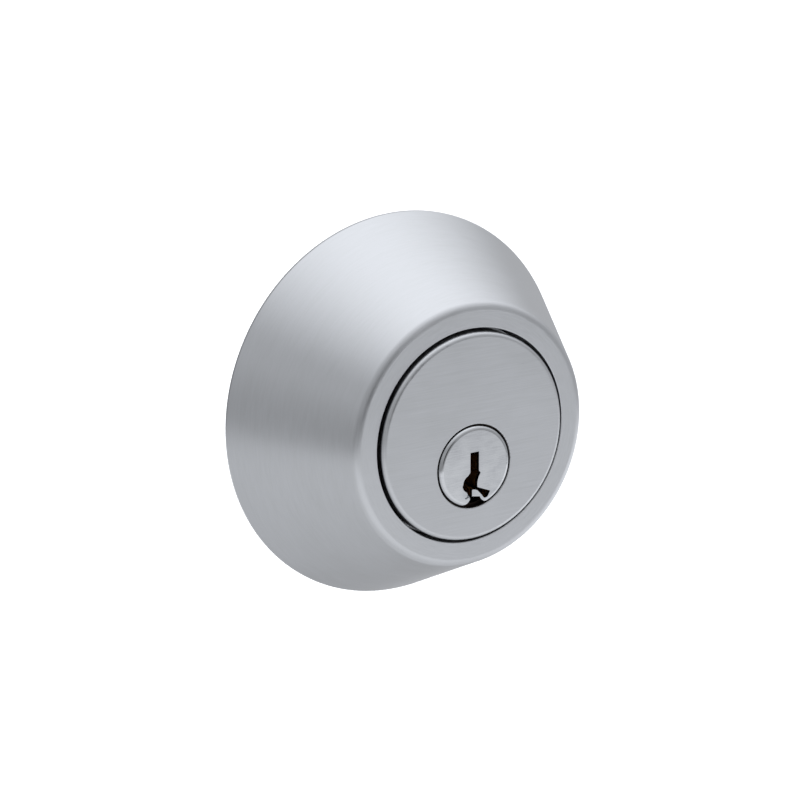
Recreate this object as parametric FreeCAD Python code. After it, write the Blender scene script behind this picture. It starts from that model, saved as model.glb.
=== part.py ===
import FreeCAD, Part
import math
import os

# Outside unit of a single-cylinder deadbolt, millimetres.
# Origin: centre of the collar's back plane, which rests on the door face.
# -Y points out of the door towards the key, +Y into the door, +Z up.

os.makedirs("parts", exist_ok=True)

# ---- driving dimensions -------------------------------------------------

collar_r = 32.0            # collar radius at the door
collar_depth = 21.8        # how far the collar stands off the door
collar_land = 0.5          # short straight edge at the door
collar_front_r = 21.4      # sharp corner between the cone and the front ring
collar_front_round = 2.8   # rounding of that corner
collar_rim_round = 0.3
collar_wall = 1.6
recess_r = 17.4            # round recess in the front ring, for the cylinder head
recess_round = 0.35
recess_depth = 4.2
lip_r = 15.15              # hole in the recess floor, around the cylinder body
lip_wall = 1.2

guard_wall = 1.8           # hardened liner inside the cone
guard_front = 18.6         # distance of its front edge from the door
guard_back = 4.0
guard_seat = 0.02          # gap left where it is pressed in

wave_inner_r = 15.35
wave_outer_r = 16.6
wave_thick = 0.3
wave_clear = 0.05          # from the crests to the head and to the recess floor
wave_count = 3
wave_steps = 12            # curve points on each wave

head_r = 16.9              # cylinder head, the disc seen in the front ring
head_thick = 3.65
head_proud = 0.85          # the head stands this far out of the front ring
head_round = 0.75
body_r = 14.75             # cylinder body behind the head
body_round = 0.5
body_back = 6.0            # the body runs this far into the door

bolt_spacing = 38.1        # between the two through-bolt holes
bolt_hole_r = 1.9          # tapped hole, thread not cut
lug_r = 4.3
lug_front = 7.0
lug_back = 4.5

plug_drop = 4.75           # plug axis below the collar axis
plug_head_r = 6.65
plug_head_thick = 1.4
plug_r = 6.35
plug_proud = 0.35          # the plug's face stands this far out of the cylinder head
plug_round = 0.7
plug_end_play = 0.05
head_bore_r = 6.85
head_bore_round = 0.15
plug_bore_r = 6.4
plug_back = 6.3
keyway_end_wall = 0.9      # between the end of the keyway and the driver recess
relief_depth = 0.25        # shallow lead-in beside the keyway's mouth

pin_count = 5
pin_pitch = 3.96
first_pin = 6.3            # first pin axis behind the plug face
pin_r = 1.46
pin_hole_r = 1.5
pin_hole_floor = -2.0      # bottom of the plug's pin holes, from the plug axis
pin_gap = 0.03             # between the pins, the springs and what they meet
key_pin_lengths = [5.2, 6.4, 4.7, 5.8, 5.0]
key_pin_point = 1.1        # height of the pointed end
key_pin_tip_r = 0.45
driver_length = 4.9
driver_chamfer = 0.2
spring_wire_r = 0.15
spring_coil_r = 1.2
spring_turns = 7
spring_wire_sides = 8      # the fine round wire is drawn as an octagon
chamber_top = 13.2         # underside of the cover strip
cover_half = 2.2           # half of the strip's width
cover_front_margin = 0.7   # strip beyond the first and last pin holes
cover_back_margin = 1.2

drive_depth = 2.4          # recess in the plug's tail end, for the driver bar
drive_r = 4.2
bar_half = 4.0
bar_thick = 2.4
bar_play = 0.05            # bar to the recess lands
bar_end_play = 0.15
tail_width = 6.3
tail_thick = 2.0
tail_end = 38.0
tail_taper = 4.0           # length of the narrowed end
tail_narrow = 1.1          # taken off each side there

retainer_r = 7.6
retainer_thick = 1.8
retainer_round = 0.3
retainer_hole_r = 3.6
screw_r = 1.0
screw_clear = 0.15         # around the screws in the plate
screw_head_r = 1.8
screw_head_thick = 1.2
screw_reach = 3.2          # depth of the tapped holes in the plug
screw_end_gap = 0.2
screw_offset = 3.1         # each way from the plug axis
slot_half = 0.25           # cross slots in the screw heads
slot_reach = 1.2
slot_depth = 0.6

drill_pin_r = 0.8
housing_pin_rows = [(4.2, 6.0), (8.2, 5.0)]    # height and half length of each rod
housing_pin_wall = 0.35    # between the rods and the first pin chamber
plug_pin_wall = 0.6        # between the plug's rod and the back of its head
plug_pin_foot = 2.7        # the rod's lower end above the plug axis
plug_pin_top_gap = 0.2

past = 1.0                 # how far a cutting shape runs past what it cuts

# ---- places worked out from them ----------------------------------------

inward = FreeCAD.Vector(0, 1, 0)
up = FreeCAD.Vector(0, 0, 1)
right = FreeCAD.Vector(1, 0, 0)

front_y = -collar_depth
head_face_y = front_y - head_proud
head_back_y = head_face_y + head_thick
plug_face_y = head_face_y - plug_proud
plug_head_back_y = plug_face_y + plug_head_thick
recess_floor_y = front_y + recess_depth
plug_z = -plug_drop
shear_z = plug_z + plug_r
cone_slope = (collar_r - collar_front_r) / (collar_depth - collar_land)
cone_cos = math.cos(math.atan(cone_slope))
pin_ys = [plug_face_y + first_pin + pin_pitch * k for k in range(pin_count)]


def cone_r(y, inset=0.0):
    """Radius of the collar's cone at y, or of a surface lying inset under it."""
    return collar_r - (-y - collar_land) * cone_slope - inset / cone_cos


def rod(r, y0, y1, x=0.0, z=0.0):
    """Round bar along Y."""
    return Part.makeCylinder(r, y1 - y0, FreeCAD.Vector(x, y0, z), inward)


def upright(r, z0, z1, x=0.0, y=0.0):
    """Round bar along Z."""
    return Part.makeCylinder(r, z1 - z0, FreeCAD.Vector(x, y, z0), up)


def block(x0, x1, y0, y1, z0, z1):
    return Part.makeBox(x1 - x0, y1 - y0, z1 - z0, FreeCAD.Vector(x0, y0, z0))


def turned(profile):
    """Solid turned about the Y axis from a closed outline of (radius, y) points."""
    points = [FreeCAD.Vector(r, y, 0) for r, y in profile]
    face = Part.Face(Part.makePolygon(points + points[:1]))
    return face.revolve(FreeCAD.Vector(0, 0, 0), inward, 360)


def round_rim(shape, r, y, amount, z=0.0):
    """Rounds the circular edge of radius r about the Y direction at height y."""
    edges = []
    for edge in shape.Edges:
        curve = edge.Curve
        if not isinstance(curve, Part.Circle) or abs(curve.Radius - r) > 1e-3:
            continue
        if abs(curve.Center.y - y) < 1e-3 and abs(curve.Center.z - z) < 1e-3:
            edges.append(edge)
    return shape.makeFillet(amount, edges)


# ---- collar -------------------------------------------------------------

def outer_collar():
    """Drawn shell: cone, front ring, and the recess with its inward lip."""
    inner_front_y = front_y + collar_wall
    recess_outer_r = recess_r + collar_wall
    lip_back_y = recess_floor_y + lip_wall
    shell = turned([
        (collar_r, 0),
        (collar_r, -collar_land),
        (collar_front_r, front_y),
        (recess_r, front_y),
        (recess_r, recess_floor_y),
        (lip_r, recess_floor_y),
        (lip_r, lip_back_y),
        (recess_outer_r, lip_back_y),
        (recess_outer_r, inner_front_y),
        (cone_r(inner_front_y, collar_wall), inner_front_y),
        (cone_r(0, collar_wall), 0),
    ])
    shell = round_rim(shell, collar_front_r, front_y, collar_front_round)
    shell = round_rim(shell, recess_r, front_y, recess_round)
    return round_rim(shell, collar_r, -collar_land, collar_rim_round)


def guard_ring():
    """Hardened conical liner pressed into the collar against drilling and wrenching."""
    front, back = -guard_front, -guard_back
    foot_back = front + guard_wall
    foot_r = recess_r + collar_wall + guard_seat
    outer, inner = collar_wall + guard_seat, collar_wall + guard_wall
    return turned([
        (cone_r(back, outer), back),
        (cone_r(front, outer), front),
        (foot_r, front),
        (foot_r, foot_back),
        (cone_r(foot_back, inner), foot_back),
        (cone_r(back, inner), back),
    ])


def wave_spring():
    """Wave washer between the cylinder head and the recess floor."""
    low = head_back_y + wave_clear
    high = recess_floor_y - wave_clear - wave_thick
    middle, swing = (low + high) / 2, (high - low) / 2

    def loop(r, lift):
        points = []
        steps = wave_steps * wave_count
        for i in range(steps):
            a = 2 * math.pi * i / steps
            y = middle + swing * math.cos(wave_count * a) + lift
            points.append(FreeCAD.Vector(r * math.cos(a), y, r * math.sin(a)))
        curve = Part.BSplineCurve()
        curve.interpolate(points, PeriodicFlag=True)
        return curve.toShape()

    corners = [
        loop(wave_inner_r, 0),
        loop(wave_outer_r, 0),
        loop(wave_outer_r, wave_thick),
        loop(wave_inner_r, wave_thick),
    ]
    faces = [Part.makeRuledSurface(corners[i], corners[(i + 1) % 4]) for i in range(4)]
    shell = Part.makeShell([face for ruled in faces for face in ruled.Faces])
    shell.sewShape()
    return Part.makeSolid(shell)


# ---- cylinder -----------------------------------------------------------

def through_bolt_holes():
    xs = (-bolt_spacing / 2, bolt_spacing / 2)
    return [rod(bolt_hole_r, -lug_front - past, lug_back + past, x) for x in xs]


def cylinder_housing():
    """Head, round body with the pin chambers, and the two through-bolt lugs."""
    head = rod(head_r, head_face_y, head_back_y)
    head = round_rim(head, head_r, head_face_y, head_round)
    body = rod(body_r, head_back_y, body_back)
    body = round_rim(body, body_r, body_back, body_round)
    half = bolt_spacing / 2
    lugs = [rod(lug_r, -lug_front, lug_back, x) for x in (-half, half)]
    arm = block(-half, half, -lug_front, lug_back, -lug_r, lug_r)
    shape = head.fuse([body, arm] + lugs)
    cuts = through_bolt_holes()
    cuts.append(rod(plug_bore_r, head_face_y - past, body_back + past, z=plug_z))
    cuts.append(rod(head_bore_r, head_face_y - past, plug_head_back_y + plug_end_play, z=plug_z))
    cuts += [upright(pin_hole_r, plug_z, chamber_top, y=y) for y in pin_ys]
    cuts.append(cover_block())
    cuts += housing_drill_pins()
    shape = shape.cut(cuts)
    return round_rim(shape, head_bore_r, head_face_y, head_bore_round, plug_z)


def cover_block():
    front = pin_ys[0] - pin_hole_r - cover_front_margin
    back = pin_ys[-1] + pin_hole_r + cover_back_margin
    return block(-cover_half, cover_half, front, back, chamber_top, body_r + past)


def chamber_cover():
    """Brass strip that closes the pin chambers, flush with the round body."""
    return cover_block().common(rod(body_r, head_back_y, body_back))


def housing_drill_pins():
    """Two hardened rods across the housing, in front of the first pin chamber."""
    y = pin_ys[0] - pin_hole_r - drill_pin_r - housing_pin_wall
    rods = []
    for z, half in housing_pin_rows:
        start = FreeCAD.Vector(-half, y, z)
        rods.append(Part.makeCylinder(drill_pin_r, 2 * half, start, right))
    return rods


# ---- plug ---------------------------------------------------------------

def plug_outline(edges, y0, y1):
    """Prism along Y from a closed outline of edges that lie at y0."""
    face = Part.Face(Part.Wire(edges))
    return face.extrude(FreeCAD.Vector(0, y1 - y0, 0))


def plug_lines(y, *points):
    """Straight edges through (x, z) points measured from the plug axis."""
    at = [FreeCAD.Vector(x, y, plug_z + z) for x, z in points]
    return [Part.LineSegment(a, b).toShape() for a, b in zip(at, at[1:])]


def plug_arc(y, *points):
    """One arc through three (x, z) points measured from the plug axis."""
    return [Part.Arc(*[FreeCAD.Vector(x, y, plug_z + z) for x, z in points]).toShape()]


def keyway():
    """Broached key slot: straight upper slot, side wards, open at the plug's underside."""
    y0, y1 = plug_face_y - past, plug_back - drive_depth - keyway_end_wall
    rim = -plug_head_r - past
    edges = plug_lines(y0, (-0.95, 2.45), (0.65, 2.45), (0.68, -0.7), (1.0, -1.1))
    edges += plug_arc(y0, (1.0, -1.1), (0.48, -2.2), (0.42, -3.4))
    edges += plug_lines(y0, (0.42, -3.4), (2.85, -4.4), (2.5, -5.05))
    edges += plug_arc(y0, (2.5, -5.05), (2.05, -5.4), (1.6, -5.3))
    edges += plug_lines(y0, (1.6, -5.3), (1.2, -4.75), (0.45, -3.95))
    edges += plug_arc(y0, (0.45, -3.95), (0.0, -3.74), (-0.6, -3.68))
    edges += plug_lines(y0, (-0.6, -3.68), (-0.6, -4.75), (0.9, -5.02))
    edges += plug_arc(y0, (0.9, -5.02), (1.3, -5.65), (2.4, -5.97))
    edges += plug_lines(y0, (2.4, -5.97), (2.4, rim), (-2.6, rim), (-2.6, -5.97))
    edges += plug_arc(y0, (-2.6, -5.97), (-1.45, -5.76), (-0.97, -5.2))
    edges += plug_lines(y0, (-0.97, -5.2), (-1.4, -4.1))
    edges += plug_arc(y0, (-1.4, -4.1), (-2.28, -2.6), (-1.35, -1.25))
    edges += plug_lines(y0, (-1.35, -1.25), (-0.95, -0.8), (-0.95, 2.45))
    return plug_outline(edges, y0, y1)


def keyway_relief():
    """Shallow crescent lead-in on the bow side of the keyway's mouth."""
    y0, y1 = plug_face_y - past, plug_face_y + relief_depth
    edges = plug_arc(y0, (-2.1, -2.3), (-2.5, -3.6), (-1.75, -5.1))
    edges += plug_lines(y0, (-1.75, -5.1), (-1.2, -4.9), (-1.2, -2.3), (-2.1, -2.3))
    return plug_outline(edges, y0, y1)


def drive_recess():
    """Bow-tie recess: two lands leave the driver bar a quarter turn of free play."""
    y0, y1 = plug_back - drive_depth, plug_back + past
    recess = rod(drive_r, y0, y1, z=plug_z)
    edge = bar_thick / 2 + bar_play
    far = drive_r + past
    lands = [
        block(-far, -edge, y0, y1, plug_z + edge, plug_z + far),
        block(edge, far, y0, y1, plug_z - far, plug_z - edge),
    ]
    return recess.cut(lands)


def retainer_screw_places():
    return [(-screw_offset, plug_z + screw_offset), (screw_offset, plug_z - screw_offset)]


def key_plug():
    """Turning plug with its head, keyway, pin holes and driver recess."""
    head = rod(plug_head_r, plug_face_y, plug_head_back_y, z=plug_z)
    shape = head.fuse(rod(plug_r, plug_head_back_y, plug_back, z=plug_z))
    shape = round_rim(shape, plug_head_r, plug_face_y, plug_round, plug_z)
    cuts = [keyway(), keyway_relief(), drive_recess(), plug_drill_pin()]
    cuts += [upright(pin_hole_r, plug_z + pin_hole_floor, shear_z + past, y=y) for y in pin_ys]
    for x, z in retainer_screw_places():
        cuts.append(rod(screw_r, plug_back - screw_reach, plug_back + past, x, z))
    return shape.cut(cuts)


def plug_drill_pin():
    """Hardened rod in the plug, above the keyway and behind the face."""
    y = plug_head_back_y + drill_pin_r + plug_pin_wall
    return upright(drill_pin_r, plug_z + plug_pin_foot, shear_z - plug_pin_top_gap, y=y)


def tail_retainer():
    """Plate screwed to the plug's end: keeps the plug in and the tailpiece on."""
    top_y = plug_back + retainer_thick
    plate = rod(retainer_r, plug_back, top_y, z=plug_z)
    plate = round_rim(plate, retainer_r, top_y, retainer_round, plug_z)
    cuts = [rod(retainer_hole_r, plug_back - past, top_y + past, z=plug_z)]
    for x, z in retainer_screw_places():
        cuts.append(rod(screw_r + screw_clear, plug_back - past, top_y + past, x, z))
    return plate.cut(cuts)


def retainer_screws():
    """Two small cheese-head screws with cross slots."""
    seat_y = plug_back + retainer_thick
    top_y = seat_y + screw_head_thick
    screws = []
    for x, z in retainer_screw_places():
        screw = rod(screw_r, plug_back - screw_reach + screw_end_gap, seat_y, x, z)
        screw = screw.fuse(rod(screw_head_r, seat_y, top_y, x, z))
        slots = []
        for wide, high in ((slot_reach, slot_half), (slot_half, slot_reach)):
            slots.append(block(x - wide, x + wide, top_y - slot_depth, top_y + past, z - high, z + high))
        screws.append(screw.cut(slots))
    return Part.makeCompound(screws)


def tailpiece():
    """Flat tail with its driver bar; it reaches through the bolt to the inside turn."""
    bar_front, bar_back = plug_back - drive_depth + bar_end_play, plug_back - bar_end_play
    half, thick = bar_thick / 2, tail_thick / 2
    bar = block(-half, half, bar_front, bar_back, plug_z - bar_half, plug_z + bar_half)
    bar = bar.common(rod(bar_half, bar_front, bar_back, z=plug_z))
    reach, end_reach = tail_width / 2, tail_width / 2 - tail_narrow
    taper_y = tail_end - tail_taper
    outline = [
        (bar_front, -reach), (taper_y, -reach), (tail_end, -end_reach),
        (tail_end, end_reach), (taper_y, reach), (bar_front, reach),
    ]
    points = [FreeCAD.Vector(-thick, y, plug_z + z) for y, z in outline]
    face = Part.Face(Part.makePolygon(points + points[:1]))
    blade = face.extrude(FreeCAD.Vector(tail_thick, 0, 0))
    return bar.fuse(blade).removeSplitter()


# ---- pin stacks ---------------------------------------------------------

def key_pin(k):
    """Pointed brass pin; its crowned top lies at the shear line."""
    y = pin_ys[k]
    top = shear_z - pin_gap
    foot = top - key_pin_lengths[k]
    tip = Part.makeCone(key_pin_tip_r, pin_r, key_pin_point, FreeCAD.Vector(0, y, foot), up)
    shank = upright(pin_r, foot + key_pin_point, top, y=y)
    crown = Part.makeSphere(plug_r - pin_gap, FreeCAD.Vector(0, y, plug_z))
    return tip.fuse(shank).removeSplitter().common(crown)


def driver_foot():
    return plug_z + plug_bore_r + pin_gap


def driver_pin(k):
    """Flat driver pin, waiting in the housing just above the shear line."""
    foot = driver_foot()
    pin = upright(pin_r, foot, foot + driver_length, y=pin_ys[k])
    ends = [e for e in pin.Edges if isinstance(e.Curve, Part.Circle)]
    return pin.makeChamfer(driver_chamfer, ends)


def pin_spring(k):
    """Coil spring between the driver pin and the cover strip."""
    low = driver_foot() + driver_length + spring_wire_r + pin_gap
    high = chamber_top - spring_wire_r - pin_gap
    helix = Part.makeHelix((high - low) / spring_turns, high - low, spring_coil_r)
    corners = []
    for i in range(spring_wire_sides + 1):
        a = 2 * math.pi * (i + 0.5) / spring_wire_sides
        x, z = spring_coil_r + spring_wire_r * math.cos(a), spring_wire_r * math.sin(a)
        corners.append(FreeCAD.Vector(x, 0, z))
    coil = Part.Wire(helix.Edges).makePipeShell([Part.makePolygon(corners)], True, True)
    coil.translate(FreeCAD.Vector(0, pin_ys[k], low))
    return coil


# ---- write one file per piece -------------------------------------------

pieces = {
    "outer_collar": outer_collar(),
    "guard_ring": guard_ring(),
    "wave_spring": wave_spring(),
    "cylinder_housing": cylinder_housing(),
    "chamber_cover": chamber_cover(),
    "housing_drill_pins": Part.makeCompound(housing_drill_pins()),
    "key_plug": key_plug(),
    "plug_drill_pin": plug_drill_pin(),
    "tail_retainer": tail_retainer(),
    "retainer_screws": retainer_screws(),
    "tailpiece": tailpiece(),
}
for k in range(pin_count):
    pieces["key_pin_%d" % (k + 1)] = key_pin(k)
    pieces["driver_pin_%d" % (k + 1)] = driver_pin(k)
    pieces["pin_spring_%d" % (k + 1)] = pin_spring(k)

for name, shape in pieces.items():
    shape.exportStep("parts/%s.step" % name)
    print("%-20s solids %d valid %s volume %.1f" % (name, len(shape.Solids), shape.isValid(), shape.Volume))
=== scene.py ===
import math
import bmesh
import bpy
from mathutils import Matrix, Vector


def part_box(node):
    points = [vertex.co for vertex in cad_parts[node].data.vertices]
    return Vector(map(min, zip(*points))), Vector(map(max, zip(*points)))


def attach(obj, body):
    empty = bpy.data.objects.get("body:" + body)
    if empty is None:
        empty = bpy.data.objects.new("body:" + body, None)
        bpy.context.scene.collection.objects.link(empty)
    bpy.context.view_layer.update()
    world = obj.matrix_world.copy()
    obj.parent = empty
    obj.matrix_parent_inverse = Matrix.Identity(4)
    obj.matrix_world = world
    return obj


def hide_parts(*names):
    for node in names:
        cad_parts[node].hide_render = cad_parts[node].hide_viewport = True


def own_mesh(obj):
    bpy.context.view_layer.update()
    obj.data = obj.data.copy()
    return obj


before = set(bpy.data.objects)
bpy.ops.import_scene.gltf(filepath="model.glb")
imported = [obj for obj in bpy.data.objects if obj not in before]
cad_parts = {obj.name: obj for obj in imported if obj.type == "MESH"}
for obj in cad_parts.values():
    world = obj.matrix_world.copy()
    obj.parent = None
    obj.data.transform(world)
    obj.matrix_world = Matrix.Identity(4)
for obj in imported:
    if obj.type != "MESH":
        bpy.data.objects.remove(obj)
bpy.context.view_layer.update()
mm = 0.001
stackNumbers = range(1, 6)    # five pin stacks, numbered from the face
scene = bpy.context.scene
scene.view_settings.view_transform = "Standard"
print("frame loaded:", len(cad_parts), "nodes")


def hexColour(code):
    parts = [int(code[i:i + 2], 16) / 255 for i in (1, 3, 5)]
    linear = [c / 12.92 if c <= 0.04045 else ((c + 0.055) / 1.055) ** 2.4 for c in parts]
    return (*linear, 1.0)


def addNode(tree, kind, settings=None, inputs=None):
    node = tree.nodes.new(kind)
    for name, value in (settings or {}).items():
        setattr(node, name, value)
    for name, value in (inputs or {}).items():
        if isinstance(value, bpy.types.NodeSocket):
            tree.links.new(value, node.inputs[name])
        else:
            node.inputs[name].default_value = value
    return node


def linkObject(name, mesh):
    piece = bpy.data.objects.new(name, mesh)
    scene.collection.objects.link(piece)
    return piece


def bakeModifiers(piece):
    # the evaluated result becomes a plain mesh, with its object at the origin
    graph = bpy.context.evaluated_depsgraph_get()
    mesh = bpy.data.meshes.new_from_object(piece.evaluated_get(graph))
    name = piece.name
    bpy.data.objects.remove(piece)
    mesh.name = name
    return linkObject(name, mesh)


def evenShading(piece):
    # large faces keep their own direction, so flats stay flat beside small roundings
    weights = piece.modifiers.new("even shading", "WEIGHTED_NORMAL")
    weights.keep_sharp = True
    return bakeModifiers(piece)


def finishPiece(piece, body, slot, *nodes):
    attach(piece, body)
    if nodes:
        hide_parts(*nodes)
    return piece


# materials: each starts from what the real surface is

glancingTint = "#F2F2F2"    # chrome and steel don't brighten evenly towards a glancing view


def metalMaterial(name, settings):
    material = bpy.data.materials.new(name)
    material.use_nodes = True
    tree = material.node_tree
    shader = tree.nodes["Principled BSDF"]
    shader.inputs["Metallic"].default_value = 1.0
    shader.inputs["Specular Tint"].default_value = hexColour(glancingTint)
    for key, value in settings.items():
        shader.inputs[key].default_value = value
    return material, tree, shader


def objectPoint(tree):
    place = addNode(tree, "ShaderNodeTexCoord").outputs["Object"]
    return place, addNode(tree, "ShaderNodeSeparateXYZ", None, {0: place}).outputs


def math2(tree, operation, a, b=0.0):
    return addNode(tree, "ShaderNodeMath", {"operation": operation}, {0: a, 1: b}).outputs[0]


def between(tree, factor, low, high, fromLow=0.0, fromHigh=1.0):
    return addNode(tree, "ShaderNodeMapRange", None, {
        "Value": factor, "From Min": fromLow, "From Max": fromHigh, "To Min": low, "To Max": high}).outputs[0]


def along(tree, vector, axis):
    return addNode(tree, "ShaderNodeVectorMath", {"operation": "DOT_PRODUCT"}, {
        0: vector, 1: axis}).outputs["Value"]


def blendColour(tree, factor, first, second):
    node = addNode(tree, "ShaderNodeMix", {"data_type": "RGBA"}, {0: factor, 6: first, 7: second})
    return node.outputs[2]


def bump(tree, height, depth):
    return addNode(tree, "ShaderNodeBump", None, {"Height": height, "Distance": depth}).outputs[0]


def roundCoordinates(tree, axisHeight=0.0):
    # the point, its radius from the turning axis, and the cosine and sine of the angle round it
    xyz = objectPoint(tree)[1]
    high = math2(tree, "SUBTRACT", xyz[2], axisHeight)
    radius = math2(tree, "SQRT", math2(tree, "ADD", math2(tree, "POWER", xyz[0], 2.0),
                                       math2(tree, "POWER", high, 2.0)))
    safe = math2(tree, "MAXIMUM", radius, 0.0001)
    return xyz, radius, math2(tree, "DIVIDE", xyz[0], safe), math2(tree, "DIVIDE", high, safe)


def turnedStreaks(tree, pitch, arc, detail=2.0):
    # noise that is fine across the brush lines and long round the circle
    xyz, radius, cosine, sine = roundCoordinates(tree)
    vector = addNode(tree, "ShaderNodeCombineXYZ", None, {
        0: math2(tree, "DIVIDE", radius, pitch), 1: math2(tree, "DIVIDE", xyz[1], pitch),
        2: math2(tree, "MULTIPLY", cosine, arc)}).outputs[0]
    return addNode(tree, "ShaderNodeTexNoise", {"noise_dimensions": "4D"}, {
        "Vector": vector, "W": math2(tree, "MULTIPLY", sine, arc), "Scale": 1.0, "Detail": detail}).outputs[0]


def straightStreaks(tree, place, pitch, length, detail=2.0):
    # fine across Z, long along X
    stretch = addNode(tree, "ShaderNodeMapping", None, {
        "Vector": place, "Scale": (1 / length, 1 / length, 1 / pitch)}).outputs[0]
    return addNode(tree, "ShaderNodeTexNoise", None, {
        "Vector": stretch, "Scale": 1.0, "Detail": detail}).outputs[0]


def clouds(tree, place, size, detail=3.0):
    return addNode(tree, "ShaderNodeTexNoise", None, {
        "Vector": place, "Scale": 1 / size, "Detail": detail}).outputs[0]


# the parts of a noise's range that are stretched over a whole change of colour or roughness
narrowWindow = (0.35, 0.65)
middleWindow = (0.3, 0.7)
wideWindow = (0.25, 0.75)
wearWindow = (0.1, 0.45)

# satin chrome, turned and brushed round the axis before plating: broad highlights that fan across the lines
satinTurned = {"linePitch": 0.28 * mm, "lineArc": 9.0, "chatterPitch": 1.6 * mm, "lineDepth": 0.016 * mm,
               "dark": "#AAACAE", "light": "#B4B6B9", "smooth": 0.27, "rough": 0.40,
               "grip": 0.55, "grain": 0.25, "haze": 14 * mm, "lineShare": 0.45,
               "chatterShare": 0.25, "hazeShare": 0.3, "chatterArc": 2.7}


def satinChromeTurned():
    # real 180 grit lines are about 0.08 mm apart; they are drawn at 0.28 mm so that they show
    s = satinTurned
    material, tree, shader = metalMaterial("satin chrome turned", {
        "Anisotropic": s["grip"], "Anisotropic Rotation": s["grain"]})
    lines = turnedStreaks(tree, s["linePitch"], s["lineArc"])
    chatter = turnedStreaks(tree, s["chatterPitch"], s["chatterArc"], detail=1.0)
    place = addNode(tree, "ShaderNodeTexCoord").outputs["Object"]
    haze = clouds(tree, place, s["haze"])
    slow = math2(tree, "ADD", math2(tree, "MULTIPLY", chatter, s["chatterShare"]),
                 math2(tree, "MULTIPLY", haze, s["hazeShare"]))
    tone = math2(tree, "ADD", math2(tree, "MULTIPLY", lines, s["lineShare"]), slow)
    tree.links.new(blendColour(tree, between(tree, tone, 0, 1, *middleWindow), hexColour(s["dark"]),
                               hexColour(s["light"])), shader.inputs["Base Color"])
    tree.links.new(between(tree, tone, s["smooth"], s["rough"], *wideWindow), shader.inputs["Roughness"])
    tree.links.new(bump(tree, lines, s["lineDepth"]), shader.inputs["Normal"])
    brushed = addNode(tree, "ShaderNodeTangent", {"direction_type": "RADIAL", "axis": "Y"})
    tree.links.new(brushed.outputs[0], shader.inputs["Tangent"])
    return material


# satin chrome brushed in straight strokes on the cylinder head, over a zinc die casting with a grainy skin;
# painted shade in the hole round the plug
satinStraight = {"linePitch": 0.14 * mm, "lineLength": 7 * mm, "lineDepth": 0.003 * mm,
                 "dark": "#A8AAAC", "light": "#B4B6B9", "smooth": 0.26, "rough": 0.38, "grip": 0.45,
                 "grain": 0.25, "haze": 9 * mm, "lineShare": 0.6, "hazeShare": 0.4,
                 "castDark": "#83858A", "castLight": "#9A9CA1", "castGrain": 0.5 * mm, "plated": 2.4 * mm,
                 "platedFade": 1.0 * mm, "castSmooth": 0.42, "castRough": 0.6,
                 # the next colour is painted shade, dark brown, for the wall of the hole round the plug
                 "boreShade": "#2C2521", "boreRadius": 6.95 * mm, "boreFrom": 0.25 * mm, "boreFade": 0.3 * mm}


def satinChromeStraight():
    # real lines are about 0.08 mm apart; they are drawn at 0.14 mm so that they show
    s = satinStraight
    material, tree, shader = metalMaterial("satin chrome on zinc casting", {
        "Anisotropic": s["grip"], "Anisotropic Rotation": s["grain"]})
    place, xyz = objectPoint(tree)
    lines = straightStreaks(tree, place, s["linePitch"], s["lineLength"])
    haze = clouds(tree, place, s["haze"])
    grain = clouds(tree, place, s["castGrain"], 4.0)
    tone = math2(tree, "ADD", math2(tree, "MULTIPLY", lines, s["lineShare"]),
                 math2(tree, "MULTIPLY", haze, s["hazeShare"]))
    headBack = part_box("cylinder_housing")[0].y + s["plated"]
    cast = between(tree, xyz[1], 0, 1, headBack, headBack + s["platedFade"])
    plated = blendColour(tree, between(tree, tone, 0, 1, *middleWindow), hexColour(s["dark"]),
                         hexColour(s["light"]))
    raw = blendColour(tree, between(tree, grain, 0, 1, *narrowWindow), hexColour(s["castDark"]),
                      hexColour(s["castLight"]))
    # painted shade: from just behind the face, the wall of the hole round the plug is coloured dark brown
    face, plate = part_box("cylinder_housing")[0].y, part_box("tail_retainer")
    fromAxis = roundCoordinates(tree, (plate[0].z + plate[1].z) / 2)[1]
    deep = between(tree, xyz[1], 0, 1, face + s["boreFrom"], face + s["boreFrom"] + s["boreFade"])
    boreShadeMask = math2(tree, "MULTIPLY", deep, math2(tree, "LESS_THAN", fromAxis, s["boreRadius"]))
    tree.links.new(blendColour(tree, boreShadeMask, blendColour(tree, cast, plated, raw), hexColour(s["boreShade"])),
                   shader.inputs["Base Color"])
    fine = between(tree, tone, s["smooth"], s["rough"], *wideWindow)
    coarse = between(tree, grain, s["castSmooth"], s["castRough"], *middleWindow)
    rough = addNode(tree, "ShaderNodeMix", None, {0: cast, 2: fine, 3: coarse}).outputs[0]
    tree.links.new(rough, shader.inputs["Roughness"])
    height = addNode(tree, "ShaderNodeMix", None, {0: cast, 2: lines, 3: grain}).outputs[0]
    tree.links.new(bump(tree, height, s["lineDepth"]), shader.inputs["Normal"])
    brushed = addNode(tree, "ShaderNodeTangent", {"direction_type": "RADIAL", "axis": "Z"})
    tree.links.new(brushed.outputs[0], shader.inputs["Tangent"])
    return material


# bright chrome on the plug's polished face, bare brass behind it: dark brown in the shade of the keyway
brightPlug = {"chrome": "#B3B5B7", "chromeDull": "#A2A4A7", "brass": "#C9A368", "brassDark": "#8F6F45",
              "scratchPitch": 0.12 * mm, "scratchLength": 2.5 * mm, "scratchDepth": 0.0012 * mm,
              "smooth": 0.07, "rough": 0.17, "chromeEnd": 0.45 * mm, "brassStart": 0.75 * mm,
              "haze": 2.2 * mm, "brassSmooth": 0.3, "brassRough": 0.5}


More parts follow.
